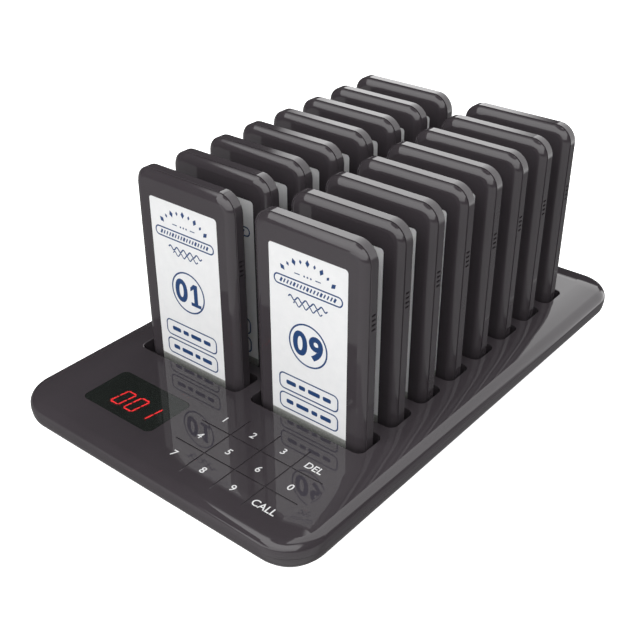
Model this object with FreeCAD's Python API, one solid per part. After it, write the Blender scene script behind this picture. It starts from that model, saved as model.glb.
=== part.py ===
import FreeCAD, Part
import math
import os

from FreeCAD import Placement, Rotation
from FreeCAD import Vector as V

# Guest pager system: a table-top charging and calling base with a touch
# keypad and a small number display, and sixteen coaster-size pagers standing
# in two columns of slots.  Millimetres, +Z up, origin on the surface it
# stands on, under the middle of the base.  -Y is the keypad (front) side.

# ---------------------------------------------------------------- dimensions
# base housing
BASE_W, BASE_L, BASE_R = 156.0, 248.0, 17.0      # widest outline and its corner radius
TOP_Z = 25.0                                     # flat deck
ROLL_Z, ROLL_R = 19.14, 4.96                     # rolled edge: height where it starts, radius
CROWN_R = 52.0                                   # shallow crown from the roll to the flat deck
SEAM_TOP, SEAM_BOT = 17.7, 17.3                  # shadow gap between the two housing halves
SKIRT_IN, SKIRT_Z, SKIRT_R = 0.3, 16.2, 5.0      # lower half: upright strip, then a tuck-in
WALL = 2.2
BOTTOM_Z = 2.0                                   # underside of the housing
BELLY_INSET = 13.6                               # how far the underside draws in
FOOT_D, FOOT_SINK = 12.0, 0.5
FOOT_XY = [(-52.0, -98.0), (52.0, -98.0), (-52.0, 98.0), (52.0, 98.0)]
SCREW_XY = [(sx * 67.5, y) for sx in (-1, 1) for y in (-98.0, 0.0, 98.0)]
SCREW_SEAT = 10.0

# pager columns and slots
COL_X = 32.45
PITCH = 21.07
FIRST_Y = -62.27                                 # label plane of the first pager in a column
PER_COL = 8
SLOT_W, SLOT_T, SLOT_R = 58.3, 15.0, 3.3
SLOT_FRONT = -4.1                                # front edge of a slot from the label plane
SLOT_EDGE = 0.4                                  # rounding of the slot's rim
POCKET_W, POCKET_T, POCKET_R = 56.0, 7.5, 0.9
POCKET_TOP, FUNNEL_TOP, POCKET_Z = 16.5, 19.0, 9.95
WELL_WALL = 1.6

# pager
PG_W, PG_H, PG_T, PG_R = 55.0, 101.2, 6.65, 8.2
PG_Z0 = 10.05                                    # lower edge of a docked pager
PG_BACK = 6.5                                    # back face behind the label plane
REAR_T = 4.25                                    # depth of the rear shell
REVEAL = 0.22                                    # gap between the two pager shells
PG_WALL = 1.3
FRONT_INSET = 0.4                                # step back of the front shell at the gap
CROWN_A, CROWN_B, PG_CROWN = 33.0, 85.0, 4.65    # crowned border of the front shell: angles and radius
PAD_Y = 4.0                                      # charge pads behind the label plane
LABEL_W, LABEL_H, LABEL_R = 38.0, 84.2, 1.5
LABEL_T = 0.25
LABEL_TOP_Z = 100.2
LIFT = 105.0                                     # travel that takes a pager clear of its slot

# keypad and display
GROOVE_W, GROOVE_D = 0.6, 0.4
KEY_X = [14.32, 30.09, 45.48]
KEY_Y = [-88.53, -102.98]
KEY_X0, KEY_X1, KEY_Y0, KEY_Y1 = -1.3, 61.1, -115.28, -76.62
WIN_C, WIN_W, WIN_L, WIN_R, WIN_T = (-31.69, -96.03), 40.0, 24.15, 2.8, 1.45
LED_C, LED_W, LED_L, LED_T = (-29.2, -98.0), 30.0, 14.0, 7.0

# rear connectors
BAY_HALF, BAY_Y, BAY_ROOF = 24.0, 112.0, 14.2
JACK_X, JACK_Z, JACK_BORE_R, JACK_DEPTH = -12.0, 9.1, 3.15, 9.5
SW_X, SW_Z = 10.0, 9.1
SW_CUT_W, SW_CUT_H = 13.6, 8.2
SW_TILT = 8.0

os.makedirs("parts", exist_ok=True)


# ------------------------------------------------------------------- helpers
def section(R, start, segs):
    """Closed face in the XZ plane, X = R - inset, from a profile of insets."""
    def pt(p):
        return V(R - p[0], 0, p[1])
    edges = []
    cur = start
    first = V(0, 0, start[1])
    if (pt(start) - first).Length > 1e-7:
        edges.append(Part.LineSegment(first, pt(start)).toShape())
    for seg in segs:
        kind, end = seg[0], seg[-1]
        if kind == "L":
            edges.append(Part.LineSegment(pt(cur), pt(end)).toShape())
        elif kind == "A":
            edges.append(Part.Arc(pt(cur), pt(seg[1]), pt(end)).toShape())
        cur = end
    last = V(0, 0, cur[1])
    if (pt(cur) - last).Length > 1e-7:
        edges.append(Part.LineSegment(pt(cur), last).toShape())
    edges.append(Part.LineSegment(last, first).toShape())
    return Part.Face(Part.Wire(Part.__sortEdges__(edges)))


def tray(w, l, R, start, segs, centre=(0.0, 0.0)):
    """Solid on a rounded-rectangle plan whose edge follows a profile of
    (inset, z) points: straight sides, turned corners and a core."""
    f = section(R, start, segs)
    z0, z1 = start[1], segs[-1][-1][1]
    bits = []
    a, b = w / 2.0 - R, l / 2.0 - R
    for k, (px, py, run) in enumerate([(a, -b, 2 * b), (a, b, 2 * a), (-a, b, 2 * b), (-a, -b, 2 * a)]):
        side = f.extrude(V(0, run, 0))
        side.Placement = Placement(V(px, py, 0), Rotation(V(0, 0, 1), 90.0 * k))
        bits.append(side)
        corner = f.revolve(V(0, 0, 0), V(0, 0, 1), 90.0)
        qx, qy = [(a, b), (-a, b), (-a, -b), (a, -b)][k]
        corner.Placement = Placement(V(qx, qy, 0), Rotation(V(0, 0, 1), 90.0 * k))
        bits.append(corner)
    core = Part.makeBox(2 * a, 2 * b, abs(z1 - z0), V(-a, -b, min(z0, z1)))
    s = core.multiFuse(bits).removeSplitter()
    s = s.Solids[0] if len(s.Solids) == 1 else s
    s.translate(V(centre[0], centre[1], 0))
    return s


def slab(w, l, R, z0, z1, centre=(0.0, 0.0)):
    """Upright rounded-rectangle block."""
    a, b = w / 2.0, l / 2.0
    d = R * (1 - math.sqrt(0.5))
    cx, cy = centre
    pts = [(a - R, -b), (a - d, -b + d), (a, -b + R), (a, b - R), (a - d, b - d), (a - R, b),
           (-a + R, b), (-a + d, b - d), (-a, b - R), (-a, -b + R), (-a + d, -b + d), (-a + R, -b)]
    p = [V(cx + x, cy + y, z0) for x, y in pts]
    e = []
    for k in range(4):
        e.append(Part.Arc(p[3 * k], p[3 * k + 1], p[3 * k + 2]).toShape())
        e.append(Part.LineSegment(p[3 * k + 2], p[(3 * k + 3) % 12]).toShape())
    return Part.Face(Part.Wire(e)).extrude(V(0, 0, z1 - z0))


def rr_wire(w, l, R, z, cx, cy):
    a, b = w / 2.0, l / 2.0
    d = R * (1 - math.sqrt(0.5))
    pts = [(a - R, -b), (a - d, -b + d), (a, -b + R), (a, b - R), (a - d, b - d), (a - R, b),
           (-a + R, b), (-a + d, b - d), (-a, b - R), (-a, -b + R), (-a + d, -b + d), (-a + R, -b)]
    p = [V(cx + x, cy + y, z) for x, y in pts]
    e = []
    for k in range(4):
        e.append(Part.Arc(p[3 * k], p[3 * k + 1], p[3 * k + 2]).toShape())
        e.append(Part.LineSegment(p[3 * k + 2], p[(3 * k + 3) % 12]).toShape())
    return Part.Wire(e)


def box(x0, x1, y0, y1, z0, z1):
    return Part.makeBox(x1 - x0, y1 - y0, z1 - z0, V(x0, y0, z0))


def rod(r, z0, z1, x, y):
    return Part.makeCylinder(r, z1 - z0, V(x, y, z0), V(0, 0, 1))


def rod_y(r, y0, y1, x, z):
    return Part.makeCylinder(r, y1 - y0, V(x, y0, z), V(0, 1, 0))


def union(first, *rest):
    flat = []
    for r in rest:
        flat.extend(r if isinstance(r, (list, tuple)) else [r])
    return first.multiFuse(flat).removeSplitter() if flat else first


def take(solid, *tools):
    flat = []
    for r in tools:
        flat.extend(r if isinstance(r, (list, tuple)) else [r])
    return solid.cut(Part.makeCompound(flat)) if flat else solid


def export(name, shape, solids=None):
    n = len(shape.Solids)
    ok = shape.isValid()
    bb = shape.BoundBox
    print("%-24s solids %2d valid %s vol %9.1f  x %.2f..%.2f y %.2f..%.2f z %.2f..%.2f" % (
        name, n, ok, shape.Volume, bb.XMin, bb.XMax, bb.YMin, bb.YMax, bb.ZMin, bb.ZMax))
    if solids is not None and n != solids:
        print("   !! expected", solids)
    out = shape.Solids[0] if n == 1 else Part.makeCompound(shape.Solids)
    out.exportStep("parts/%s.step" % name)


def slots():
    """(pager number, column centre x, label plane y) of every slot."""
    out = []
    for c, sx in enumerate((-1, 1)):
        for k in range(PER_COL):
            out.append((c * PER_COL + k + 1, sx * COL_X, FIRST_Y + k * PITCH))
    return out


def deck_edge(off):
    """Upright, roll and crown of the deck's edge, drawn in by a thickness."""
    cz = TOP_Z - CROWN_R
    cx = ROLL_R + math.sqrt((CROWN_R - ROLL_R) ** 2 - (ROLL_Z - cz) ** 2)
    th = math.atan2(cx - ROLL_R, ROLL_Z - cz)
    r1, r2 = ROLL_R - off, CROWN_R - off

    def on(c, r, a):
        return (c[0] - r * math.sin(a), c[1] + r * math.cos(a))
    c1, c2 = (ROLL_R, ROLL_Z), (cx, cz)
    return [("L", (off, ROLL_Z)),
            ("A", on(c1, r1, (math.pi / 2 + th) / 2), on(c1, r1, th)),
            ("A", on(c2, r2, th / 2), (cx, cz + r2))]


def belly(off):
    """Underside, tuck-in and upright strip of the lower half."""
    c = (SKIRT_IN + SKIRT_R, SKIRT_Z)
    r = SKIRT_R - off

    def on(a):
        return (c[0] - r * math.cos(math.radians(a)), c[1] - r * math.sin(math.radians(a)))
    mid = (7.16 + 0.67 * off, 7.08 + 0.74 * off)
    return [("A", mid, on(40.0)), ("A", on(20.0), on(0.0))]


SLOT_CY = SLOT_FRONT + SLOT_T / 2.0              # slot centre from the label plane
PG_CY = PG_BACK - PG_T / 2.0                     # pager centre from the label plane
PG_CZ = PG_Z0 + PG_H / 2.0


# ----------------------------------------------------------------- top cover
def build_top_cover():
    outer = tray(BASE_W, BASE_L, BASE_R, (0.0, SEAM_TOP), deck_edge(0.0))
    inner = tray(BASE_W, BASE_L, BASE_R, (WALL, SEAM_TOP - 1.0), deck_edge(WALL))
    body = outer.cut(inner)
    wells, holes = [], []
    for n, x, y in slots():
        sc, pc = y + SLOT_CY, y + PG_CY
        g = 2 * WELL_WALL
        wells.append(slab(SLOT_W + g, SLOT_T + g, SLOT_R + WELL_WALL, POCKET_TOP, TOP_Z - 1.0, (x, sc)))
        wells.append(slab(POCKET_W + g, POCKET_T + g, POCKET_R + WELL_WALL,
                          POCKET_Z - WELL_WALL, POCKET_TOP + 1.0, (x, pc)))
        # slot mouth with a rounded rim, funnel and pocket
        mouth = tray(SLOT_W, SLOT_T, SLOT_R, (0.0, FUNNEL_TOP),
                     [("L", (0.0, TOP_Z - SLOT_EDGE)),
                      ("A", (-SLOT_EDGE * (1 - math.sqrt(0.5)), TOP_Z - SLOT_EDGE * (1 - math.sqrt(0.5))),
                       (-SLOT_EDGE, TOP_Z)),
                      ("L", (-SLOT_EDGE, TOP_Z + 1.0))], (x, sc))
        funnel = Part.makeLoft([rr_wire(POCKET_W, POCKET_T, POCKET_R, POCKET_TOP, x, pc),
                                rr_wire(SLOT_W, SLOT_T, SLOT_R, FUNNEL_TOP, x, sc)], True, True)
        pocket = slab(POCKET_W, POCKET_T, POCKET_R, POCKET_Z, POCKET_TOP, (x, pc))
        holes += [mouth, funnel, pocket]
        for dx in (-10.0, 10.0):
            holes.append(rod(1.1, POCKET_Z - WELL_WALL - 1.0, POCKET_Z + 0.5, x + dx, y + PAD_Y))
    # screw bosses hang from the deck
    bosses = [rod(3.5, 12.2, TOP_Z - 1.4, x, y) for x, y in SCREW_XY]
    pilots = [rod(1.55, 12.0, 21.4, x, y) for x, y in SCREW_XY]
    # stake posts of the display board
    posts, pegs = [], []
    for dx in (-19.5, 19.5):
        for dy in (-9.5, 9.5):
            posts.append(rod(1.9, LED_C_Z0, TOP_Z - 1.4, WIN_C[0] + dx, WIN_C[1] + dy))
            pegs.append(rod(0.9, LED_C_Z0 - 2.4, LED_C_Z0, WIN_C[0] + dx, WIN_C[1] + dy))
    body = union(body, wells, bosses, posts, pegs)
    cuts = list(holes) + pilots
    # window seat and the opening under it
    cuts.append(slab(WIN_W + 0.2, WIN_L + 0.2, WIN_R + 0.1, TOP_Z - 1.5, TOP_Z + 1.0, WIN_C))
    cuts.append(slab(WIN_W - 3.6, WIN_L - 3.6, 1.2, TOP_Z - 4.0, TOP_Z, WIN_C))
    # touch key grooves
    g = GROOVE_W / 2.0
    for x in KEY_X:
        cuts.append(box(x - g, x + g, KEY_Y0 - 2.0, KEY_Y1, TOP_Z - GROOVE_D, TOP_Z + 1.0))
    for y in KEY_Y:
        cuts.append(box(KEY_X0, KEY_X1, y - g, y + g, TOP_Z - GROOVE_D, TOP_Z + 1.0))
    return take(body, cuts)


LED_C_Z0 = 16.2                                  # top face of the display board


# -------------------------------------------------------------- bottom shell
def build_bottom_shell():
    outer = tray(BASE_W, BASE_L, BASE_R, (BELLY_INSET, BOTTOM_Z),
                 belly(0.0) + [("L", (SKIRT_IN, SEAM_BOT))])
    inner = tray(BASE_W, BASE_L, BASE_R, (BELLY_INSET + 1.8, BOTTOM_Z + WALL),
                 belly(2.0) + [("L", (SKIRT_IN + 2.0, SEAM_BOT + 1.0))])
    lip_o = tray(BASE_W, BASE_L, BASE_R, (WALL + 0.12, 14.8), [("L", (WALL + 0.12, 19.0))])
    lip_i = tray(BASE_W, BASE_L, BASE_R, (WALL + 1.4, 13.5), [("L", (WALL + 1.4, 20.0))])
    body = union(outer.cut(inner), lip_o.cut(lip_i))
    adds, cuts = [], []
    # screw towers with their counterbores
    for x, y in SCREW_XY:
        adds.append(rod(5.2, 3.4, 12.0, x, y))
        cuts.append(rod(3.3, -1.0, SCREW_SEAT, x, y))
        cuts.append(rod(1.75, SCREW_SEAT - 0.5, 13.0, x, y))
    # the towers stay inside the belly
    adds = [a.common(outer) for a in adds]
    for x, y in FOOT_XY:
        cuts.append(rod(FOOT_D / 2.0 + 0.2, -1.0, BOTTOM_Z + FOOT_SINK, x, y))
    # board posts with pegs
    for sx in (-1, 1):
        for dx in (-18.0, 18.0):
            for y in (-60.0, 14.0, 90.0):
                adds.append(rod(2.4, 4.0, 6.2, sx * COL_X + dx, y))
                adds.append(rod(0.9, 6.2, 7.4, sx * COL_X + dx, y))
    for x in (-54.0, 54.0):
        for y in (-107.0, -78.0):
            adds.append(rod(2.4, 4.0, 8.0, x, y))
            adds.append(rod(0.9, 8.0, 9.2, x, y))
    # connector bay: a block that the bay is cut from, leaving its cheeks,
    # panel and roof
    h = BAY_HALF
    adds.append(box(-h - 2, h + 2, BAY_Y - 2.0, 121.9, 3.0, BAY_ROOF + 1.6).common(outer))
    body = union(body, adds)
    cuts.append(box(-h, h, BAY_Y, 130.0, -1.0, BAY_ROOF))
    cuts.append(rod_y(4.15, BAY_Y - 3.0, BAY_Y + 1.0, JACK_X, JACK_Z))
    cuts.append(box(SW_X - SW_CUT_W / 2, SW_X + SW_CUT_W / 2, BAY_Y - 3.0, BAY_Y + 1.0,
                    SW_Z - SW_CUT_H / 2, SW_Z + SW_CUT_H / 2))
    return take(body, cuts)


# ------------------------------------------------------------ small base parts
def build_window():
    return slab(WIN_W, WIN_L, WIN_R, TOP_Z - 1.5, TOP_Z - 1.5 + WIN_T, WIN_C)


def build_display_module():
    z0, z1 = LED_C_Z0 - 1.6, LED_C_Z0
    board = slab(46.0, 26.0, 1.5, z0, z1, WIN_C)
    board = take(board, [rod(1.05, z0 - 1, z1 + 1, WIN_C[0] + dx, WIN_C[1] + dy)
                         for dx in (-19.5, 19.5) for dy in (-9.5, 9.5)])
    led = box(LED_C[0] - LED_W / 2, LED_C[0] + LED_W / 2, LED_C[1] - LED_L / 2, LED_C[1] + LED_L / 2,
              z1, z1 + LED_T)
    plug = box(WIN_C[0] - 8, WIN_C[0] + 4, WIN_C[1] - 5, WIN_C[1] + 0.5, z0 - 4.2, z0)
    plug = take(plug, box(WIN_C[0] - 7, WIN_C[0] + 3, WIN_C[1] - 4, WIN_C[1] - 0.5, z0 - 5, z0 - 1.2))
    chip = box(WIN_C[0] + 8, WIN_C[0] + 16, WIN_C[1] - 3, WIN_C[1] + 3, z0 - 1.3, z0)
    return Part.makeCompound([board, led, plug, chip])


def build_touch_board():
    z1 = TOP_Z - WALL
    z0 = z1 - 1.2
    board = slab(60.6, 32.7, 1.5, z0, z1, (29.9, -93.45))
    chip = box(12.0, 19.0, -98.0, -91.0, z0 - 1.2, z0)
    plug = box(34.0, 48.0, -94.0, -88.5, z0 - 4.2, z0)
    plug = take(plug, box(35.0, 47.0, -93.0, -89.5, z0 - 5, z0 - 1.2))
    leds = [box(x - 0.8, x + 0.8, -108.6, -107.4, z0 - 0.8, z0) for x in (6.0, 22.0, 38.0, 53.0)]
    return Part.makeCompound([board, chip, plug] + leds)


def build_main_board():
    z0, z1 = 8.0, 9.6
    board = slab(116.0, 36.0, 2.0, z0, z1, (0.0, -92.0))
    board = take(board, [rod(1.05, z0 - 1, z1 + 1, x, y) for x in (-54.0, 54.0) for y in (-107.0, -78.0)])
    cpu = box(-14.0, -4.0, -98.0, -88.0, z1, z1 + 1.4)
    radio = take(box(12.0, 30.0, -104.0, -88.0, z1, z1 + 2.6))
    crystal = box(-24.0, -18.0, -90.0, -87.0, z1, z1 + 1.2)
    reg = box(-46.0, -36.0, -86.0, -77.0, z1, z1 + 2.4)
    caps = [rod(3.1, z1, z1 + 5.0, -51.5, -96.0), rod(3.1, z1, z1 + 5.0, -44.0, -96.0)]
    head = take(box(-6.0, 8.0, -81.0, -75.5, z1, z1 + 4.6), box(-5.0, 7.0, -80.0, -76.5, z1 + 1.2, z1 + 5))
    # helical aerial: a row of turns standing on the board
    coil = []
    for k in range(9):
        t = Part.makeTorus(2.4, 0.4, V(36.0 + 1.3 * k, -96.0, z1 + 3.0), V(1, 0, 0))
        coil.append(t)
    coil.append(box(34.6, 35.2, -96.4, -95.6, z1, z1 + 3.4))
    return Part.makeCompound([board, cpu, radio, crystal, reg, head] + caps + coil)


def build_charging_board():
    z0, z1 = 6.2, 7.8
    out = []
    for sx in (-1, 1):
        cx = sx * COL_X
        b = slab(45.0, 165.0, 1.5, z0, z1, (cx, 14.6))
        b = take(b, [rod(1.05, z0 - 1, z1 + 1, cx + dx, y) for dx in (-18.0, 18.0) for y in (-60.0, 14.0, 90.0)])
        out.append(b)
    for n, x, y in slots():
        for dx in (-10.0, 10.0):
            pin = union(rod(1.4, z1, z1 + 0.45, x + dx, y + PAD_Y), rod(0.8, z1 + 0.4, 9.7, x + dx, y + PAD_Y))
            tip = Part.makeCone(0.8, 0.45, 0.3, V(x + dx, y + PAD_Y, 9.7), V(0, 0, 1))
            out.append(union(pin, tip))
    return Part.makeCompound(out)


def build_screws():
    out = []
    for x, y in SCREW_XY:
        head = Part.makeCone(2.4, 2.8, 0.6, V(x, y, SCREW_SEAT - 2.2), V(0, 0, 1))
        head = union(head, rod(2.8, SCREW_SEAT - 1.6, SCREW_SEAT, x, y))
        shank = rod(1.5, SCREW_SEAT, 19.6, x, y)
        tip = Part.makeCone(1.5, 0.6, 1.4, V(x, y, 19.6), V(0, 0, 1))
        s = union(head, shank, tip)
        cross = [box(x - 1.5, x + 1.5, y - 0.35, y + 0.35, SCREW_SEAT - 3, SCREW_SEAT - 1.0),
                 box(x - 0.35, x + 0.35, y - 1.5, y + 1.5, SCREW_SEAT - 3, SCREW_SEAT - 1.0)]
        out.append(take(s, cross))
    return Part.makeCompound(out)


def build_feet():
    out = []
    for x, y in FOOT_XY:
        r = FOOT_D / 2.0
        prof = [V(0, 0, 0), V(r - 0.8, 0, 0), V(r, 0, 0.8), V(r, 0, BOTTOM_Z + FOOT_SINK), V(0, 0, BOTTOM_Z + FOOT_SINK)]
        f = Part.Face(Part.makePolygon(prof + [prof[0]]))
        s = f.revolve(V(0, 0, 0), V(0, 0, 1), 360)
        s.translate(V(x, y, 0))
        out.append(s)
    return Part.makeCompound(out)


def build_jack():
    """DC inlet: housing behind the panel, nose through it, bore and pin."""
    yb = BAY_Y - 2.0
    body = box(JACK_X - 4.5, JACK_X + 4.5, 98.6, yb, 5.1, 13.6)
    body = union(body, rod_y(4.0, yb - 1.0, BAY_Y + 0.6, JACK_X, JACK_Z))
    body = take(body, rod_y(JACK_BORE_R, BAY_Y + 0.6 - JACK_DEPTH, BAY_Y + 2.0, JACK_X, JACK_Z))
    pin = rod_y(1.0, BAY_Y + 0.6 - JACK_DEPTH, BAY_Y - 0.6, JACK_X, JACK_Z)
    return union(body, pin)


def build_switch_frame():
    """Rocker switch housing and bezel, open to the rear for the rocker."""
    yb = BAY_Y - 2.0
    hw, hh = SW_CUT_W / 2 - 0.15, SW_CUT_H / 2 - 0.15
    s = box(SW_X - hw, SW_X + hw, 99.4, BAY_Y, SW_Z - hh, SW_Z + hh)
    s = union(s, box(SW_X - hw - 0.9, SW_X + hw + 0.9, BAY_Y, BAY_Y + 1.1, SW_Z - hh - 0.9, SW_Z + hh + 0.9))
    s = take(s, box(SW_X - hw + 0.9, SW_X + hw - 0.9, 106.6, BAY_Y + 2.0, SW_Z - hh + 0.9, SW_Z + hh - 0.9))
    # pivot bores through the upper and lower cheeks
    s = take(s, rod(0.75, SW_Z - hh - 0.5, SW_Z + hh + 0.5, SW_X, BAY_Y - 0.6))
    tabs = [box(SW_X + dx - 1.1, SW_X + dx + 1.1, 96.9, 99.4, SW_Z - 0.4, SW_Z + 0.4) for dx in (-3.4, 3.4)]
    return union(s, tabs)


def build_switch_rocker():
    """Rocker with its pivot stubs, resting tilted to the OFF side."""
    hw, hh = SW_CUT_W / 2 - 0.15 - 0.9 - 0.4, SW_CUT_H / 2 - 0.15 - 0.9 - 0.3
    yc = BAY_Y - 0.6
    pts = [V(-hw, -1.6, 0), V(-hw, 1.9, 0), V(0, 1.1, 0), V(hw, 1.9, 0), V(hw, -1.6, 0),
           V(1.6, -2.6, 0), V(-1.6, -2.6, 0)]
    edges = [Part.LineSegment(pts[0], pts[1]).toShape(),
             Part.Arc(pts[1], pts[2], pts[3]).toShape(),
             Part.LineSegment(pts[3], pts[4]).toShape(),
             Part.LineSegment(pts[4], pts[5]).toShape(),
             Part.LineSegment(pts[5], pts[6]).toShape(),
             Part.LineSegment(pts[6], pts[0]).toShape()]
    f = Part.Face(Part.Wire(edges))
    s = f.extrude(V(0, 0, 2 * hh))
    s.translate(V(0, 0, -hh))
    s = union(s, Part.makeCylinder(0.7, 2 * hh + 1.5, V(0, 0, -hh - 0.75), V(0, 0, 1)))
    s.rotate(V(0, 0, 0), V(0, 0, 1), -SW_TILT)
    s.translate(V(SW_X, yc, SW_Z))
    return s


# --------------------------------------------------------------------- pager
# Local frame: x across, y up from the pager's middle, z from the back face
# (0) to the front face (PG_T).
def place(shape, x, y):
    s = shape.copy()
    s.rotate(V(0, 0, 0), V(1, 0, 0), 90)
    s.translate(V(x, y + PG_BACK, PG_CZ))
    return s


STAKE_XY = [(-18.5, -40.0), (18.5, -40.0), (-18.5, 18.0), (18.5, 18.0)]
PAD_X = (-10.0, 10.0)


def build_pager_rear():
    e = 0.35
    q = e * (1 - math.sqrt(0.5))
    outer = tray(PG_W, PG_H, PG_R, (e, 0.0), [("A", (q, q), (0.0, e)), ("L", (0.0, REAR_T))])
    inner = tray(PG_W, PG_H, PG_R, (PG_WALL, PG_WALL), [("L", (PG_WALL, REAR_T + 1.0))])
    s = outer.cut(inner)
    posts = [rod(1.9, 1.0, 2.2, x, y) for x, y in STAKE_XY] + [rod(0.8, 2.2, 3.0, x, y) for x, y in STAKE_XY]
    s = union(s, posts)
    cuts = []
    # charge pad windows in the lower edge
    for x in PAD_X:
        cuts.append(box(x - 2.1, x + 2.1, -PG_H / 2 - 1, -PG_H / 2 + PG_WALL + 0.2, 1.7, 3.3))
    # sound slits in the right-hand edge
    for k in range(4):
        y = 19.2 + (k - 1.5) * 2.05
        cuts.append(box(PG_W / 2 - PG_WALL - 0.3, PG_W / 2 + 1, y - 0.45, y + 0.45, 1.1, 3.4))
    return take(s, cuts)


def build_pager_front():
    v0 = REAR_T + REVEAL
    a, b = math.radians(CROWN_A), math.radians(CROWN_B)
    ci, cv = FRONT_INSET + PG_CROWN * math.cos(a), v0 - PG_CROWN * math.sin(a)

    def on(t):
        return (ci - PG_CROWN * math.cos(t), cv + PG_CROWN * math.sin(t))
    outer = tray(PG_W, PG_H, PG_R, (FRONT_INSET, v0), [("A", on((a + b) / 2), (on(b)[0], PG_T))])
    lip = tray(PG_W, PG_H, PG_R, (1.45, 2.3), [("L", (1.45, v0 + 0.3))])
    cavity = tray(PG_W, PG_H, PG_R, (2.45, 1.3), [("L", (2.45, PG_BACK - 1.65))])
    s = union(outer, lip).cut(cavity)
    ly = LABEL_TOP_Z - LABEL_H / 2.0 - PG_CZ
    cuts = [slab(LABEL_W, LABEL_H, LABEL_R, PG_BACK - LABEL_T, PG_T + 1.0, (0.0, ly))]
    for x in PAD_X:
        cuts.append(box(x - 3.0, x + 3.0, -PG_H / 2 - 0.2, -PG_H / 2 + 3.2, 1.0, 3.9))
    return take(s, cuts)


def build_pager_internals():
    out = []
    b0, b1 = 2.2, 3.0
    board = slab(44.0, 70.0, 1.5, b0, b1, (0.0, -12.0))
    board = take(board, [rod(1.0, b0 - 1, b1 + 1, x, y) for x, y in STAKE_XY])
    out.append(board)
    out.append(slab(38.0, 28.0, 1.2, b1, b1 + 1.7, (0.0, -24.0)))            # battery
    out.append(rod(5.0, b1, b1 + 1.6, -12.0, 2.0))                           # vibration motor
    out.append(rod(6.0, b1, b1 + 1.65, 11.0, 4.0))                           # buzzer
    out.append(box(-4.0, 3.0, -1.0, 6.0, b1, b1 + 0.8))                      # controller
    out.append(box(-3.0, 3.0, 12.0, 16.0, b1, b1 + 1.0))                     # radio
    for x in (-15.0, -5.0, 5.0, 15.0):
        out.append(box(x - 1.75, x + 1.75, 19.0 if abs(x) < 10 else 11.5, 22.5 if abs(x) < 10 else 15.0,
                       b1, b1 + 1.2))                                        # lamps
    for x in (-8.0, 8.0):
        out.append(box(x - 1.75, x + 1.75, -45.5, -42.0, b1, b1 + 1.2))
    for x in PAD_X:                                                          # charge pads
        pad = box(x - 2.0, x + 2.0, -PG_H / 2, -47.5, 1.8, 3.2)
        pad = union(pad, box(x - 2.0, x + 2.0, -47.8, -45.8, 1.8, b0))
        out.append(pad)
    return Part.makeCompound(out)


# -------------------------------------------------------------------- export
export("top_cover", build_top_cover(), 1)
export("bottom_shell", build_bottom_shell(), 1)
export("display_window", build_window(), 1)
export("display_module", build_display_module())
export("touch_board", build_touch_board())
export("main_board", build_main_board())
export("charging_board", build_charging_board())
export("screws", build_screws(), len(SCREW_XY))
export("rubber_feet", build_feet(), len(FOOT_XY))
export("dc_jack", build_jack(), 1)
export("switch_frame", build_switch_frame(), 1)
export("switch_rocker", build_switch_rocker(), 1)

rear, front, inside = build_pager_rear(), build_pager_front(), build_pager_internals()
for n, x, y in slots():
    export("pager_%02d_rear_shell" % n, place(rear, x, y), 1)
    export("pager_%02d_front_shell" % n, place(front, x, y), 1)
    export("pager_%02d_internals" % n, place(inside, x, y))
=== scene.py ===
import bpy
import bmesh
import math
from mathutils import Matrix, Vector


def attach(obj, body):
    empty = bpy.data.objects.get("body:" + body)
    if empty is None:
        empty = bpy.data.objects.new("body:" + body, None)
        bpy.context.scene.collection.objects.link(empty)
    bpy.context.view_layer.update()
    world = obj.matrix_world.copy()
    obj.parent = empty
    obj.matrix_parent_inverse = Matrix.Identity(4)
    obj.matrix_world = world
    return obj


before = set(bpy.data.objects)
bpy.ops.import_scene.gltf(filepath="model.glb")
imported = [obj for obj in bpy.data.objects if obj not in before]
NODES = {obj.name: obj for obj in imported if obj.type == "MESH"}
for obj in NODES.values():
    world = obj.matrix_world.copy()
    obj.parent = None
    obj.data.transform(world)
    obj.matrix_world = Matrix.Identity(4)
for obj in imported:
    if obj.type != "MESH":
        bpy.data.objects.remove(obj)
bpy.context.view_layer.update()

MM = 0.001
scene = bpy.context.scene

# ------------------------------------------------------------ shared layout
COL_X = 32.45
PITCH = 21.07
FIRST_Y = -62.27
DECK = 25.0
CARD_W, CARD_H, CARD_R, CARD_T = 38.0, 84.2, 1.5, 0.25
CARD_TOP = 100.2
CARD_BOT = CARD_TOP - CARD_H


def pagers():
    out = []
    for c, sx in enumerate((-1, 1)):
        for k in range(8):
            out.append((c * 8 + k + 1, sx * COL_X, FIRST_Y + k * PITCH))
    return out


# ------------------------------------------------------------------- camera
def make_camera():
    az, el = math.radians(39.171), math.radians(31.295)
    back = Vector((math.sin(az) * math.cos(el), -math.cos(az) * math.cos(el), math.sin(el)))
    right = Vector((math.cos(az), math.sin(az), 0.0))
    up = back.cross(right)
    data = bpy.data.cameras.new("camera")
    data.sensor_fit = "HORIZONTAL"
    data.sensor_width = 36.0
    data.lens = 1022.65 / 640.0 * 36.0
    data.clip_start, data.clip_end = 0.02, 50.0
    data.dof.use_dof = False
    cam = bpy.data.objects.new("camera", data)
    m = Matrix((right, up, back)).transposed().to_4x4()
    m.translation = Vector((0.24388, -0.31449, 0.27255))
    cam.matrix_world = m
    scene.collection.objects.link(cam)
    scene.camera = cam


make_camera()


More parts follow.
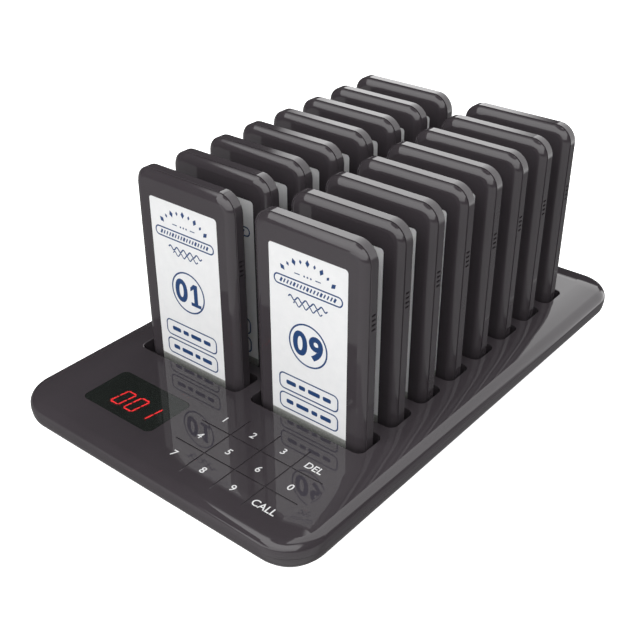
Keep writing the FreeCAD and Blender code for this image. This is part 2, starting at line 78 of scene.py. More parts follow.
# ---------------------------------------------------------------- materials
class Nodes:
    """A small helper round a material's node tree."""

    def __init__(self, name):
        self.mat = bpy.data.materials.new(name)
        self.mat.use_nodes = True
        self.nt = self.mat.node_tree
        self.nt.nodes.clear()
        self.out = self.nt.nodes.new("ShaderNodeOutputMaterial")
        self.bsdf = self.nt.nodes.new("ShaderNodeBsdfPrincipled")
        self.nt.links.new(self.bsdf.outputs["BSDF"], self.out.inputs["Surface"])
        self.coord = self.nt.nodes.new("ShaderNodeTexCoord").outputs["Object"]

    def new(self, kind, **props):
        n = self.nt.nodes.new(kind)
        for k, v in props.items():
            setattr(n, k, v)
        return n

    def link(self, a, b):
        self.nt.links.new(a, b)

    def put(self, **values):
        for k, v in values.items():
            self.bsdf.inputs[k.replace("_", " ")].default_value = v

    def mapped(self, scale=(1, 1, 1), rotation=(0, 0, 0)):
        m = self.new("ShaderNodeMapping")
        m.inputs["Scale"].default_value = scale
        m.inputs["Rotation"].default_value = rotation
        self.link(self.coord, m.inputs["Vector"])
        return m.outputs["Vector"]

    def noise(self, scale, detail=3.0, rough=0.5, vector=None, distortion=0.0):
        n = self.new("ShaderNodeTexNoise")
        n.inputs["Scale"].default_value = scale
        n.inputs["Detail"].default_value = detail
        n.inputs["Roughness"].default_value = rough
        n.inputs["Distortion"].default_value = distortion
        self.link(vector or self.coord, n.inputs["Vector"])
        return n.outputs["Fac"]

    def ramp(self, fac, stops, kind="LINEAR"):
        r = self.new("ShaderNodeValToRGB")
        r.color_ramp.interpolation = kind
        while len(r.color_ramp.elements) < len(stops):
            r.color_ramp.elements.new(0.5)
        for e, (p, c) in zip(r.color_ramp.elements, stops):
            e.position = p
            e.color = (c[0], c[1], c[2], 1.0) if hasattr(c, "__len__") else (c, c, c, 1.0)
        self.link(fac, r.inputs["Fac"])
        return r.outputs["Color"]

    def spread(self, fac, lo, hi, fmin=0.3, fmax=0.7):
        m = self.new("ShaderNodeMapRange")
        m.inputs["From Min"].default_value = fmin
        m.inputs["From Max"].default_value = fmax
        m.inputs["To Min"].default_value = lo
        m.inputs["To Max"].default_value = hi
        self.link(fac, m.inputs["Value"])
        return m.outputs["Result"]

    def math(self, op, a, b=None, c=None):
        n = self.new("ShaderNodeMath", operation=op)
        for i, v in enumerate((a, b, c)):
            if v is None:
                continue
            if isinstance(v, (int, float)):
                n.inputs[i].default_value = v
            else:
                self.link(v, n.inputs[i])
        return n.outputs[0]

    def mix(self, fac, a, b, blend="MIX"):
        n = self.new("ShaderNodeMix", data_type="RGBA", blend_type=blend)
        for sock, v in ((n.inputs[0], fac), (n.inputs[6], a), (n.inputs[7], b)):
            if hasattr(v, "links"):
                self.link(v, sock)
            elif hasattr(v, "__len__"):
                sock.default_value = (v[0], v[1], v[2], 1.0)
            else:
                sock.default_value = v
        return n.outputs[2]

    def bump(self, height, distance, strength=1.0, normal=None):
        b = self.new("ShaderNodeBump")
        b.inputs["Distance"].default_value = distance
        b.inputs["Strength"].default_value = strength
        self.link(height, b.inputs["Height"])
        if normal is not None:
            self.link(normal, b.inputs["Normal"])
        self.link(b.outputs["Normal"], self.bsdf.inputs["Normal"])
        return b.outputs["Normal"]


def gloss_plastic(name, base, rough=0.07, vary=0.06, grain=1.0, scratch=1.0, ior=1.5):
    """Moulded gloss plastic: faint flow mottling, fine orange peel, hairlines."""
    n = Nodes(name)
    n.put(IOR=ior)
    lo = tuple(c * (1.0 - vary) for c in base)
    hi = tuple(c * (1.0 + vary) for c in base)
    flow = n.noise(26.0, 5.0, 0.55, n.mapped((1.0, 0.6, 1.3)))
    speck = n.noise(1900.0, 2.0, 0.5)
    tone = n.math("ADD", n.math("MULTIPLY", flow, 0.75), n.math("MULTIPLY", speck, 0.25))
    col = n.ramp(tone, [(0.38, lo), (0.62, hi)])
    # hairline handling marks, only in the roughness
    hair = n.noise(70.0, 4.0, 0.65, n.mapped((1.0, 14.0, 3.0), (0.2, 0.1, 0.5)))
    marks = n.spread(hair, 0.0, 0.05 * scratch, 0.60, 0.74)
    haze = n.spread(n.noise(55.0, 4.0, 0.6), 0.0, 0.03 * scratch, 0.45, 0.7)
    r = n.math("ADD", n.math("ADD", haze, marks), rough)
    n.link(col, n.bsdf.inputs["Base Color"])
    n.link(r, n.bsdf.inputs["Roughness"])
    n.bump(n.noise(420.0, 2.0, 0.5), 0.000004 * grain, 1.0)
    return n.mat


def satin_plastic(name, base, rough=0.42, vary=0.08, grain=1.0):
    """Textured (spark-eroded) moulding."""
    n = Nodes(name)
    n.put(IOR=1.5)
    lo = tuple(c * (1.0 - vary) for c in base)
    hi = tuple(c * (1.0 + vary) for c in base)
    tone = n.noise(90.0, 5.0, 0.6)
    n.link(n.ramp(tone, [(0.35, lo), (0.65, hi)]), n.bsdf.inputs["Base Color"])
    n.link(n.spread(n.noise(240.0, 3.0, 0.6), rough - 0.06, rough + 0.08), n.bsdf.inputs["Roughness"])
    n.bump(n.noise(2600.0, 3.0, 0.6), 0.00003 * grain, 0.8)
    return n.mat


def metal(name, base, rough=0.28, brushed=(1.0, 1.0, 1.0)):
    n = Nodes(name)
    n.put(Metallic=1.0)
    lo = tuple(c * 0.86 for c in base)
    tone = n.noise(800.0, 4.0, 0.6, n.mapped(brushed))
    n.link(n.ramp(tone, [(0.3, lo), (0.7, base)]), n.bsdf.inputs["Base Color"])
    n.link(n.spread(tone, rough - 0.08, rough + 0.12), n.bsdf.inputs["Roughness"])
    n.bump(tone, 0.00001, 0.5)
    return n.mat


def rubber(name, base):
    n = Nodes(name)
    n.put(IOR=1.45)
    tone = n.noise(300.0, 5.0, 0.65)
    n.link(n.ramp(tone, [(0.35, tuple(c * 0.8 for c in base)), (0.7, tuple(c * 1.25 for c in base))]),
           n.bsdf.inputs["Base Color"])
    n.link(n.spread(tone, 0.7, 0.9), n.bsdf.inputs["Roughness"])
    n.bump(n.noise(3200.0, 2.0, 0.5), 0.00003, 0.8)
    return n.mat


def circuit_board(name, base, track):
    """Solder mask with tracks, pads and vias under it."""
    n = Nodes(name)
    n.put(IOR=1.52)
    v = n.mapped((1.0, 1.0, 0.0))
    runs = n.new("ShaderNodeTexBrick")
    runs.offset = 0.37
    runs.inputs["Scale"].default_value = 210.0
    runs.inputs["Mortar Size"].default_value = 0.13
    runs.inputs["Brick Width"].default_value = 1.7
    runs.inputs["Row Height"].default_value = 0.42
    n.link(v, runs.inputs["Vector"])
    vias = n.new("ShaderNodeTexVoronoi")
    vias.inputs["Scale"].default_value = 330.0
    n.link(v, vias.inputs["Vector"])
    hole = n.spread(vias.outputs["Distance"], 1.0, 0.0, 0.10, 0.16)
    tone = n.ramp(n.noise(60.0, 4.0, 0.6), [(0.3, tuple(c * 0.82 for c in base)), (0.7, base)])
    col = n.mix(runs.outputs["Fac"], track, tone)
    col = n.mix(hole, col, (0.55, 0.50, 0.36))
    n.link(col, n.bsdf.inputs["Base Color"])
    n.link(n.spread(n.noise(500.0, 2.0, 0.5), 0.28, 0.42), n.bsdf.inputs["Roughness"])
    n.bump(runs.outputs["Fac"], 0.00002, 0.6)
    return n.mat


def card_stock(name):
    """Satin-laminated white card, with painted shade below the deck line where it stands in the slot."""
    n = Nodes(name)
    n.put(IOR=1.46)
    tone = n.noise(240.0, 5.0, 0.6)
    white = n.ramp(tone, [(0.3, (0.78, 0.785, 0.79)), (0.7, (0.82, 0.822, 0.825))])
    # painted shade: the card's colour turns a speckled dark grey below the deck line (Z 24.3 to 24.7 mm), where it
    # stands in the slot
    speck = n.noise(900.0, 4.0, 0.75)
    slot_shade = n.ramp(speck, [(0.3, (0.20, 0.205, 0.195)), (0.7, (0.36, 0.365, 0.345))])
    sep = n.new("ShaderNodeSeparateXYZ")
    n.link(n.coord, sep.inputs[0])
    # painted shade mask: white above the deck line, the grey painted slot shade below it
    n.link(n.mix(n.spread(sep.outputs["Z"], 1.0, 0.0, 0.0243, 0.0247), white, slot_shade), n.bsdf.inputs["Base Color"])
    n.link(n.spread(n.noise(1500.0, 3.0, 0.6), 0.42, 0.56), n.bsdf.inputs["Roughness"])
    n.bump(n.noise(2400.0, 4.0, 0.6), 0.000012, 0.8)
    return n.mat


def ink(name, base, rough=0.45):
    n = Nodes(name)
    n.put(IOR=1.48)
    tone = n.noise(1400.0, 4.0, 0.6)
    n.link(n.ramp(tone, [(0.25, tuple(c * 0.82 for c in base)), (0.7, tuple(min(1.0, c * 1.08) for c in base))]),
           n.bsdf.inputs["Base Color"])
    n.link(n.spread(tone, rough - 0.06, rough + 0.1), n.bsdf.inputs["Roughness"])
    n.bump(tone, 0.000004, 0.6)
    return n.mat


def smoked_window(name):
    n = Nodes(name)
    n.put(IOR=1.49, Transmission_Weight=0.6)
    tone = n.noise(35.0, 3.0, 0.5)
    n.link(n.ramp(tone, [(0.3, (0.034, 0.040, 0.036)), (0.7, (0.040, 0.047, 0.042))]),
           n.bsdf.inputs["Base Color"])
    n.link(n.spread(n.noise(60.0, 4.0, 0.6), 0.02, 0.05), n.bsdf.inputs["Roughness"])
    n.bump(n.noise(300.0, 2.0, 0.5), 0.000003, 1.0)
    return n.mat


def lit_segment(name, colour, power):
    n = Nodes(name)
    n.put(IOR=1.45, Roughness=0.4, Emission_Strength=power)
    tone = n.noise(900.0, 2.0, 0.5)
    n.link(n.ramp(tone, [(0.3, tuple(c * 0.8 for c in colour)), (0.7, colour)]), n.bsdf.inputs["Emission Color"])
    n.link(n.ramp(tone, [(0.3, (0.30, 0.02, 0.02)), (0.7, (0.36, 0.03, 0.03))]), n.bsdf.inputs["Base Color"])
    return n.mat


M = {
    "deck": gloss_plastic("deck_gloss", (0.0470, 0.0405, 0.0455), 0.012, scratch=0.4),
    "belly": gloss_plastic("belly_gloss", (0.0460, 0.0400, 0.0440), 0.11, grain=1.6),
    "pager_front": gloss_plastic("pager_front_gloss", (0.0480, 0.0415, 0.0465), 0.05, scratch=0.7),
    "pager_rear": gloss_plastic("pager_rear_gloss", (0.0480, 0.0415, 0.0465), 0.05, scratch=0.7),
    "window": smoked_window("smoked_window"),
    "module": satin_plastic("module_black", (0.012, 0.014, 0.012), 0.6, grain=0.1),
    "segment": lit_segment("segment_red", (1.0, 0.020, 0.028), 95.0),
    "pcb": circuit_board("board_green", (0.012, 0.085, 0.040), (0.020, 0.130, 0.062)),
    "pcb_dark": circuit_board("board_dark", (0.010, 0.030, 0.060), (0.016, 0.050, 0.090)),
    "chip": satin_plastic("chip_black", (0.018, 0.018, 0.019), 0.48),
    "tin": metal("tinned_metal", (0.72, 0.71, 0.68), 0.3),
    "gold": metal("gold_contact", (0.83, 0.62, 0.28), 0.24),
    "copper": metal("copper_wire", (0.80, 0.46, 0.30), 0.3),
    "steel": metal("screw_steel", (0.50, 0.50, 0.52), 0.3, (1.0, 1.0, 6.0)),
    "rubber": rubber("foot_rubber", (0.020, 0.020, 0.021)),
    "connector": satin_plastic("connector_black", (0.020, 0.020, 0.021), 0.38),
    "rocker": gloss_plastic("rocker_black", (0.016, 0.016, 0.017), 0.2, grain=2.0),
    "card": card_stock("card_white"),
    "blue": ink("print_blue", (0.009, 0.048, 0.165)),
    "pale_blue": ink("print_pale_blue", (0.20, 0.36, 0.62)),
    "legend": ink("legend_white", (0.80, 0.80, 0.80), 0.4),
    "foil": satin_plastic("battery_wrap", (0.30, 0.31, 0.33), 0.35),
    "lamp": satin_plastic("lamp_lens", (0.62, 0.58, 0.50), 0.25),
}


def dress(node, default, rules=()):
    """Gives a CAD node its materials: rules are (material, test) on a face's
    middle in mm and its normal."""
    o = NODES[node]
    me = o.data
    names = [default] + [r[0] for r in rules]
    me.materials.clear()
    for k in names:
        me.materials.append(M[k])
    if not rules:
        me.polygons.foreach_set("material_index", [0] * len(me.polygons))
        return
    idx = []
    for p in me.polygons:
        c = p.center * 1000.0
        m = 0
        for k, (_, test) in enumerate(rules):
            if test(c, p.normal):
                m = k + 1
                break
        idx.append(m)
    me.polygons.foreach_set("material_index", idx)


dress("top_cover", "deck")
dress("bottom_shell", "belly")
dress("display_window", "window")
dress("display_module", "pcb_dark", [("module", lambda c, n: c.z > 16.25), ("chip", lambda c, n: c.z < 14.55)])
dress("touch_board", "pcb", [("chip", lambda c, n: c.z < 21.55)])
dress("main_board", "pcb", [
    ("copper", lambda c, n: 33.0 < c.x < 50.0 and c.z > 9.65),
    ("tin", lambda c, n: c.x < -40.0 and c.z > 9.65 and c.y < -90.0),
    ("chip", lambda c, n: c.z > 9.65)])
dress("charging_board", "pcb", [("gold", lambda c, n: c.z > 7.85)])
dress("screws", "steel")
dress("rubber_feet", "rubber")
dress("dc_jack", "connector", [
    ("tin", lambda c, n: math.hypot(c.x + 12.0, c.z - 9.1) < 1.3 and c.y > 103.0)])
dress("switch_frame", "connector")
dress("switch_rocker", "rocker")
for num, px, py in pagers():
    tag = "pager_%02d_" % num
    dress(tag + "rear_shell", "pager_rear")
    dress(tag + "front_shell", "pager_front")
    # board plane is at local z 2.2..3.0 from the back face
    yb = py + 6.5
    dress(tag + "internals", "pcb", [
        ("gold", lambda c, n, yb=yb: c.z < 16.0 and c.y > yb - 3.25),
        ("foil", lambda c, n, yb=yb, px=px: c.y < yb - 3.05 and 21.0 < c.z < 52.0 and abs(c.x - px) < 19.5),
        ("tin", lambda c, n, yb=yb, px=px: c.y < yb - 3.05 and 57.0 < c.z < 69.0 and c.x - px < -6.0),
        ("lamp", lambda c, n, yb=yb, px=px: c.y < yb - 3.05 and ((c.z > 70.0 and abs(c.x - px) > 3.1) or c.z < 20.0)),
        ("chip", lambda c, n, yb=yb: c.y < yb - 3.05)])


# -------------------------------------------------------------- mesh helpers
def mesh_object(name, verts, faces, material, body, where=None, smooth=False):
    """Vertices in mm.  where: 4x4 from mm-space to mm-space."""
    me = bpy.data.meshes.new(name)
    vv = [Vector(v) for v in verts]
    if where is not None:
        vv = [where @ v for v in vv]
    me.from_pydata([v * MM for v in vv], [], faces)
    me.validate()
    me.materials.append(M[material])
    if smooth:
        me.polygons.foreach_set("use_smooth", [True] * len(me.polygons))
    o = bpy.data.objects.new(name, me)
    scene.collection.objects.link(o)
    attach(o, body)
    return o


class Print:
    """Collects flat printed shapes (in a 2-D plane, mm) into one thin mesh."""

    def __init__(self, thick=0.02):
        self.v, self.f, self.t = [], [], thick

    def prism(self, outline, holes=()):
        """A filled outline (counter-clockwise), a few hundredths thick."""
        bm = bmesh.new()
        loops = []
        for ring in [outline] + list(holes):
            vs = [bm.verts.new((x, y, 0.0)) for x, y in ring]
            loops.append([bm.edges.new((vs[i], vs[(i + 1) % len(vs)])) for i in range(len(vs))])
        edges = [e for l in loops for e in l]
        res = bmesh.ops.triangle_fill(bm, use_beauty=True, use_dissolve=False, edges=edges,
                                      normal=(0.0, 0.0, 1.0))
        faces = [g for g in res["geom"] if isinstance(g, bmesh.types.BMFace)]
        self._take(bm, faces)

    def _take(self, bm, faces):
        ext = bmesh.ops.extrude_face_region(bm, geom=faces)
        for g in ext["geom"]:
            if isinstance(g, bmesh.types.BMVert):
                g.co.z += self.t
        bmesh.ops.recalc_face_normals(bm, faces=bm.faces[:])
        base = len(self.v)
        bm.verts.ensure_lookup_table()
        bm.verts.index_update()
        self.v += [v.co.copy() for v in bm.verts]
        self.f += [[base + v.index for v in f.verts] for f in bm.faces]
        bm.free()

    def quad_ring(self, outer, inner):
        """Band between two rings with the same number of points."""
        bm = bmesh.new()
        a = [bm.verts.new((x, y, 0.0)) for x, y in outer]
        b = [bm.verts.new((x, y, 0.0)) for x, y in inner]
        n = len(a)
        faces = [bm.faces.new((a[i], a[(i + 1) % n], b[(i + 1) % n], b[i])) for i in range(n)]
        self._take(bm, faces)

    def text(self, body, size, cx, cy, bold=0.0, squeeze=1.0, turn=0.0, shear=0.0):
        cu = bpy.data.curves.new("t", "FONT")
        cu.body, cu.size = body, size
        cu.offset = bold
        cu.resolution_u = 6
        cu.shear = shear
        cu.fill_mode = "FRONT"
        ob = bpy.data.objects.new("t", cu)
        scene.collection.objects.link(ob)
        bpy.context.view_layer.update()
        me = bpy.data.meshes.new_from_object(ob.evaluated_get(bpy.context.evaluated_depsgraph_get()))
        bpy.data.objects.remove(ob)
        bpy.data.curves.remove(cu)
        xs = [v.co.x for v in me.vertices]
        ys = [v.co.y for v in me.vertices]
        mx, my = (min(xs) + max(xs)) / 2, (min(ys) + max(ys)) / 2
        c, s = math.cos(turn), math.sin(turn)
        bm = bmesh.new()
        bm.from_mesh(me)
        bpy.data.meshes.remove(me)
        bmesh.ops.remove_doubles(bm, verts=bm.verts[:], dist=1e-5)
        for v in bm.verts:
            x, y = (v.co.x - mx) * squeeze, v.co.y - my
            v.co = Vector((cx + x * c - y * s, cy + x * s + y * c, 0.0))
        self._take(bm, bm.faces[:])
        return (max(xs) - min(xs)) * squeeze, max(ys) - min(ys)

    def line(self, pts, w, closed=False):
        """Stroke of width w along a polyline with mitred joints."""
        p = [Vector(q) for q in pts]
        n = len(p)
        left, right = [], []
        for i in range(n):
            a = p[i - 1] if (closed or i > 0) else p[i]
            b = p[(i + 1) % n] if (closed or i < n - 1) else p[i]
            d1 = (p[i] - a).normalized() if (p[i] - a).length > 1e-9 else (b - p[i]).normalized()
            d2 = (b - p[i]).normalized() if (b - p[i]).length > 1e-9 else d1
            t = (d1 + d2)
            t = t.normalized() if t.length > 1e-6 else d1
            nrm = Vector((-t.y, t.x))
            k = w / 2.0 / max(0.35, nrm.dot(Vector((-d1.y, d1.x))))
            left.append(p[i] + nrm * k)
            right.append(p[i] - nrm * k)
        bm = bmesh.new()
        a = [bm.verts.new((q.x, q.y, 0.0)) for q in right]
        b = [bm.verts.new((q.x, q.y, 0.0)) for q in left]
        faces = []
        for i in range(n if closed else n - 1):
            j = (i + 1) % n
            faces.append(bm.faces.new((a[i], a[j], b[j], b[i])))
        self._take(bm, faces)

    def make(self, name, material, body, where):
        return mesh_object(name, self.v, self.f, material, body, where)


def ring_pts(cx, cy, r, n=72, a0=0.0, a1=2 * math.pi, close=True):
    m = n if close else n - 1
    return [(cx + r * math.cos(a0 + (a1 - a0) * i / m), cy + r * math.sin(a0 + (a1 - a0) * i / m))
            for i in range(n)]


def rr_pts(x0, x1, y0, y1, r, n=8):
    """Rounded rectangle, counter-clockwise."""
    out = []
    for cx, cy, a in ((x1 - r, y0 + r, -90), (x1 - r, y1 - r, 0), (x0 + r, y1 - r, 90), (x0 + r, y0 + r, 180)):
        for i in range(n + 1):
            t = math.radians(a + 90.0 * i / n)
            out.append((cx + r * math.cos(t), cy + r * math.sin(t)))
    return out


# ------------------------------------------------------------ pager cards
def card_space(px, py):
    """Card plane (x across, y up from the card's lower left corner, z out of
    the card) to the row frame, in mm, on the card's front surface."""
    m = Matrix(((1, 0, 0, 0), (0, 0, -1, 0), (0, 1, 0, 0), (0, 0, 0, 1)))
    m.translation = Vector((px - CARD_W / 2.0, py, CARD_BOT))
    return m


def card_body(num, px, py):
    """Laminated card: rounded corners and a hair of edge rounding."""
    inset = 0.06
    e = 0.05
    rings = [(0.0, inset, -CARD_T), (0.0, inset, -e), (e * 0.3, inset, -e * 0.3), (e, inset, 0.0)]
    verts, faces = [], []
    n = 4 * 9
    for off, ins, z in rings:
        verts += [(x, y, z) for x, y in rr_pts(ins + off, CARD_W - ins - off, ins + off, CARD_H - ins - off,
                                               CARD_R - ins - off)]
    for r in range(len(rings) - 1):
        for i in range(n):
            j = (i + 1) % n
            faces.append([r * n + i, r * n + j, (r + 1) * n + j, (r + 1) * n + i])
    faces.append([(len(rings) - 1) * n + i for i in range(n)])
    faces.append([i for i in reversed(range(n))])
    return mesh_object("card_%02d" % num, verts, faces, "card", "pager_%02d" % num, card_space(px, py))


# height of a point of the card above its lower edge, from the height above the deck
def up(z):
    return z + DECK - CARD_BOT


def card_print(num, px, py):
    body = "pager_%02d" % num
    where = card_space(px, py)
    mid = CARD_W / 2.0
    blue = Print()
    # number in its ring
    cy = up(35.6)
    blue.line(ring_pts(mid, cy, 9.25, 80), 0.72, closed=True)
    for i, ch in enumerate("%02d" % num):
        x, y0, y1 = mid + (7.9 * i - 3.95), cy - 5.25, cy + 5.25
        if ch != "1":
            blue.text(ch, 14.4, x, cy, bold=0.5, squeeze=0.98)
            continue
        x += 0.5
        blue.prism([(x - 1.1, y0), (x + 1.1, y0), (x + 1.1, y1), (x - 1.1, y1)])
        blue.prism([(x - 2.9, y0), (x - 1.1, y0), (x - 1.1, y0 + 1.6), (x - 2.9, y0 + 1.6)])
        blue.prism([(x + 1.1, y0), (x + 2.9, y0), (x + 2.9, y0 + 1.6), (x + 1.1, y0 + 1.6)])
        blue.prism([(x - 1.1, y1), (x - 3.0, y1 - 2.0), (x - 3.0, y1 - 3.8), (x - 1.1, y1 - 2.3)])
    # arch of lozenges
    for i in range(9):
        a = math.radians(90 + (i - 4) * 11.5)
        r = 17.0
        x, y = mid + r * math.cos(a), up(54.4) + r * math.sin(a)
        s = 1.25 if i % 2 == 0 else 0.8
        c, sn = math.cos(a), math.sin(a)
        blue.prism([(x + c * s * 1.25, y + sn * s * 1.25), (x - sn * s * 0.8, y + c * s * 0.8),
                    (x - c * s * 1.25, y - sn * s * 1.25), (x + sn * s * 0.8, y - c * s * 0.8)])
    # three dots between dashes
    for dx in (-1.6, 0.0, 1.6):
        blue.prism(ring_pts(mid + dx, up(65.6), 0.42, 16))
    for dx in (-5.0, 5.0):
        blue.line([(mid + dx - 1.3, up(65.6)), (mid + dx + 1.3, up(65.6))], 0.42)
    # strap with a row of slanted ticks
    blue.line(rr_pts(2.6, CARD_W - 2.6, up(58.6), up(62.6), 1.9, 8), 0.62, closed=True)
    for i in range(17):
        x = mid + (i - 8) * 1.62
        blue.line([(x - 0.42, up(59.7)), (x + 0.42, up(61.5))], 0.6 if i % 4 else 0.95)
    # waves
    for row, (z, w) in enumerate(((54.6, 0.6), (52.4, 0.5))):
        pts = [(mid - 9.5 + row * 2.5 + t * (19.0 - row * 5.0) / 48.0,
                up(z) + 0.85 * math.sin(t / 48.0 * (5 - row) * 2 * math.pi)) for t in range(49)]
        blue.line(pts, w)
    # two framed panels with bars
    for lo, hi, bars in ((10.9, 18.3, (5.0, 3.2, 6.0, 4.0)), (1.5, 8.9, (3.6, 6.4, 3.0, 5.4))):
        blue.line(rr_pts(4.2, CARD_W - 4.2, up(lo), up(hi), 2.2, 8), 0.62, closed=True)
        total = sum(bars) + 1.5 * (len(bars) - 1)
        x = mid - total / 2.0
        for b in bars:
            blue.prism(rr_pts(x, x + b, up((lo + hi) / 2 - 1.0), up((lo + hi) / 2 + 1.0), 0.6, 3))
            x += b + 1.5
    blue.make("card_print_%02d" % num, "blue", body, where)


for num, px, py in pagers():
    card_body(num, px, py)
    card_print(num, px, py)


# ---------------------------------------------------------- keypad legends
def key_legends():
    """Printed legends on the deck."""
    p = Print(0.02)

    def put(t, x, y):
        p.text(t, 4.75, 0.95 * (x - 54.165), 0.95 * y - 62.27, bold=0.05)

    keys = [("1", 60.4, -21.3), ("2", 77.0, -21.9), ("3", 93.5, -21.9),
            ("4", 59.8, -35.7), ("5", 76.5, -36.1), ("6", 93.1, -36.6), ("0", 110.0, -36.8),
            ("7", 59.7, -50.5), ("8", 76.4, -50.8), ("9", 92.9, -51.2)]
    for t, x, y in keys:
        put(t, x, y)
    put("DEL", 110.0, -22.4)
    put("CALL", 109.8, -51.9)
    where = Matrix.Translation((0.0, 0.0, DECK + 0.004))
    p.make("key_legends", "legend", "base", where)


key_legends()


# ----------------------------------------------------------- display digits
def seven_segments():
    """Slanted seven-segment digits on the face of the display block."""
    on = {"0": "abcdef", "1": "bc"}
    w, h, t, slant = 4.75, 9.2, 0.72, math.tan(math.radians(8.0))
    x0s = (-40.4 - 1.06, -32.45 - 1.06, -24.5 - 1.06)
    y0 = -102.75 + 0.84
    g = 0.16
    lit = Print(0.06)

    def seg(ax, ay, bx, by):
        a, b = Vector((ax, ay)), Vector((bx, by))
        d = (b - a).normalized()
        n = Vector((-d.y, d.x)) * (t / 2)
        a, b = a + d * g, b - d * g
        pts = [a, a + d * t / 2 - n, b - d * t / 2 - n, b, b - d * t / 2 + n, a + d * t / 2 + n]
        return [(q.x, q.y) for q in pts]

    for ch, x0 in zip("001", x0s):
        m = {"a": (0, h, w, h), "b": (w, h / 2, w, h), "c": (w, 0, w, h / 2), "d": (0, 0, w, 0),
             "e": (0, 0, 0, h / 2), "f": (0, h / 2, 0, h), "g": (0, h / 2, w, h / 2)}
        for k in on[ch]:
            ring = [(x0 + x + slant * y, y0 + y) for x, y in seg(*m[k])]
            lit.prism(ring)
    lit.make("display_segments", "segment", "base", Matrix.Translation((0.0, 0.0, 23.205)))


seven_segments()


# -------------------------------------------------------------------- studio
def make_floor():
    """Plain pale floor: white to the camera, and not seen in reflections."""
    me = bpy.data.meshes.new("floor")
    s = 4.0
    me.from_pydata([(-s, -s, 0), (s, -s, 0), (s, s, 0), (-s, s, 0)], [], [(0, 1, 2, 3)])
    m = bpy.data.materials.new("floor_pale")
    m.use_nodes = True
    b = m.node_tree.nodes["Principled BSDF"]
    b.inputs["Base Color"].default_value = (0.8, 0.8, 0.8, 1.0)
    b.inputs["Roughness"].default_value = 0.9
    b.inputs["Specular IOR Level"].default_value = 0.0
    b.inputs["Emission Color"].default_value = (1.0, 1.0, 1.0, 1.0)
    b.inputs["Emission Strength"].default_value = 0.9
    me.materials.append(m)
    o = bpy.data.objects.new("floor", me)
    scene.collection.objects.link(o)
    o.visible_glossy = False
    o.visible_diffuse = False
    o.visible_transmission = False
    o.visible_shadow = False
    return o


make_floor()


def make_flag():
    """Black flag low in front on the left, seen in reflections only, which
    keeps the soft box off the rolled front edge."""
    me = bpy.data.meshes.new("flag")
    me.from_pydata([(-0.9, -0.9, 0.1), (-0.02, -0.9, 0.1), (-0.02, -0.128, 0.1), (-0.9, -0.128, 0.1)],
                   [], [(0, 1, 2, 3)])
    m = bpy.data.materials.new("flag_black")
    m.use_nodes = True
    b = m.node_tree.nodes["Principled BSDF"]
    b.inputs["Base Color"].default_value = (0.01, 0.01, 0.01, 1.0)
    b.inputs["Roughness"].default_value = 0.9
    b.inputs["Specular IOR Level"].default_value = 0.0
    me.materials.append(m)
    o = bpy.data.objects.new("flag", me)
    scene.collection.objects.link(o)
    o.visible_camera = False
    o.visible_diffuse = False
    o.visible_transmission = False
    o.visible_shadow = False


make_flag()


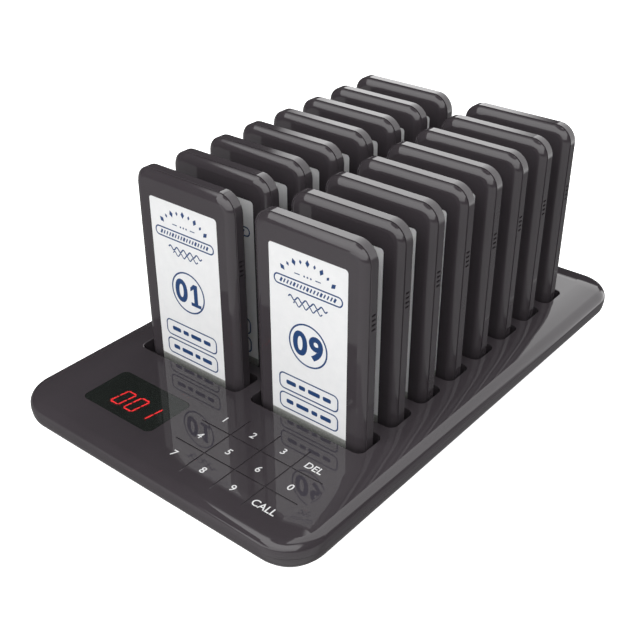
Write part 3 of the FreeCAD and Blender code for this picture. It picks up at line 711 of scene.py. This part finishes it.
class Studio:
    """Soft boxes painted on the surrounding sphere, each one a patch bounded by
    great circles (unit normals that point into the patch)."""

    def __init__(self):
        self.world = bpy.data.worlds.new("studio")
        self.world.use_nodes = True
        self.nt = self.world.node_tree
        self.nt.nodes.clear()
        self.dir = self.nt.nodes.new("ShaderNodeTexCoord").outputs["Generated"]

    def math(self, op, a, b, c=None):
        n = self.nt.nodes.new("ShaderNodeMath")
        n.operation = op
        for k, v in enumerate((a, b, c)):
            if v is None:
                continue
            if isinstance(v, (int, float)):
                n.inputs[k].default_value = v
            else:
                self.nt.links.new(v, n.inputs[k])
        return n.outputs[0]

    def along(self, normal):
        v = Vector(normal).normalized()
        n = self.nt.nodes.new("ShaderNodeVectorMath")
        n.operation = "DOT_PRODUCT"
        self.nt.links.new(self.dir, n.inputs[0])
        n.inputs[1].default_value = v
        return n.outputs["Value"]

    def step(self, value, lo, hi):
        n = self.nt.nodes.new("ShaderNodeMapRange")
        n.interpolation_type = "SMOOTHSTEP"
        n.inputs["From Min"].default_value = lo
        n.inputs["From Max"].default_value = hi
        self.nt.links.new(value, n.inputs["Value"])
        return n.outputs["Result"]

    def patch(self, edges):
        out = None
        for normal, lo, hi in edges:
            e = self.step(self.along(normal), lo, hi)
            out = e if out is None else self.math("MULTIPLY", out, e)
        return out

    def finish(self, radiance, backdrop):
        bg = self.nt.nodes.new("ShaderNodeBackground")
        self.nt.links.new(radiance, bg.inputs["Strength"])
        bg.inputs["Color"].default_value = (1.0, 1.0, 1.0, 1.0)
        plain = self.nt.nodes.new("ShaderNodeBackground")
        plain.inputs["Strength"].default_value = backdrop
        plain.inputs["Color"].default_value = (1.0, 1.0, 1.0, 1.0)
        ray = self.nt.nodes.new("ShaderNodeLightPath")
        mix = self.nt.nodes.new("ShaderNodeMixShader")
        self.nt.links.new(ray.outputs["Is Camera Ray"], mix.inputs["Fac"])
        self.nt.links.new(bg.outputs[0], mix.inputs[1])
        self.nt.links.new(plain.outputs[0], mix.inputs[2])
        out = self.nt.nodes.new("ShaderNodeOutputWorld")
        self.nt.links.new(mix.outputs[0], out.inputs["Surface"])
        scene.world = self.world


def studio_light():
    s = Studio()
    # large canopy behind, above and to the right
    edge = (0.764, 0.451, 0.459)
    canopy = s.patch([(edge, -0.02, 0.05), ((1.0, 0.0, 0.0), -0.624, -0.616), ((-0.6555, 0.6348, 0.4095), -0.05, 0.05), ((0, 0, 1), -0.36, -0.24)])
    gap = s.patch([((0.891, 0.454, 0.0), -0.03, 0.03), ((-0.996, 0.087, 0.0), -0.05, 0.05), ((0, 0, -1), -0.40, -0.36)])
    canopy = s.math("MULTIPLY", canopy, s.math("SUBTRACT", 1.0, gap))
    level = s.math("MAXIMUM", s.math("MULTIPLY_ADD", s.along(edge), -1.6, 2.9), 1.75)
    canopy = s.math("MULTIPLY", canopy, level)
    # the canopy's upper left corner is cut away
    corner = s.math("MAXIMUM", s.step(s.along((-0.09, 0.691, -0.717)), -0.02, 0.02),
                    s.step(s.along((0.891, 0.454, 0.0)), -0.03, 0.03))
    canopy = s.math("MULTIPLY", canopy, corner)
    # wide soft box overhead in front, its upper half brighter
    front = s.patch([((0.957, -0.128, 0.261), -0.421, -0.401), ((-0.087, 0.224, -0.971), -0.93, -0.88),
                     ((0.0, -1.0, 0.0), 0.10, 0.42), ((-0.21, -0.028, 0.977), -0.08, 0.05),
                     ((-0.587, -0.705, 0.399), -0.06, 0.06)])
    front = s.math("MULTIPLY", front, s.math("MULTIPLY_ADD", s.step(s.along((0.0, 0.0, 1.0)), 0.15, 0.5), 0.75, 2.0))
    # light from the ground in front
    low = s.math("MULTIPLY_ADD", s.step(s.along((0.55, -0.83, 0.0)), 0.0, 0.5), 0.46, 0.26)
    low = s.math("MULTIPLY", low, s.step(s.along((0, 0, -1)), 0.05, 0.2))
    total = s.math("ADD", s.math("ADD", canopy, front), s.math("ADD", low, 0.02))
    s.finish(total, 1.0)


studio_light()

scene.view_settings.view_transform = "Standard"
scene.view_settings.look = "None"
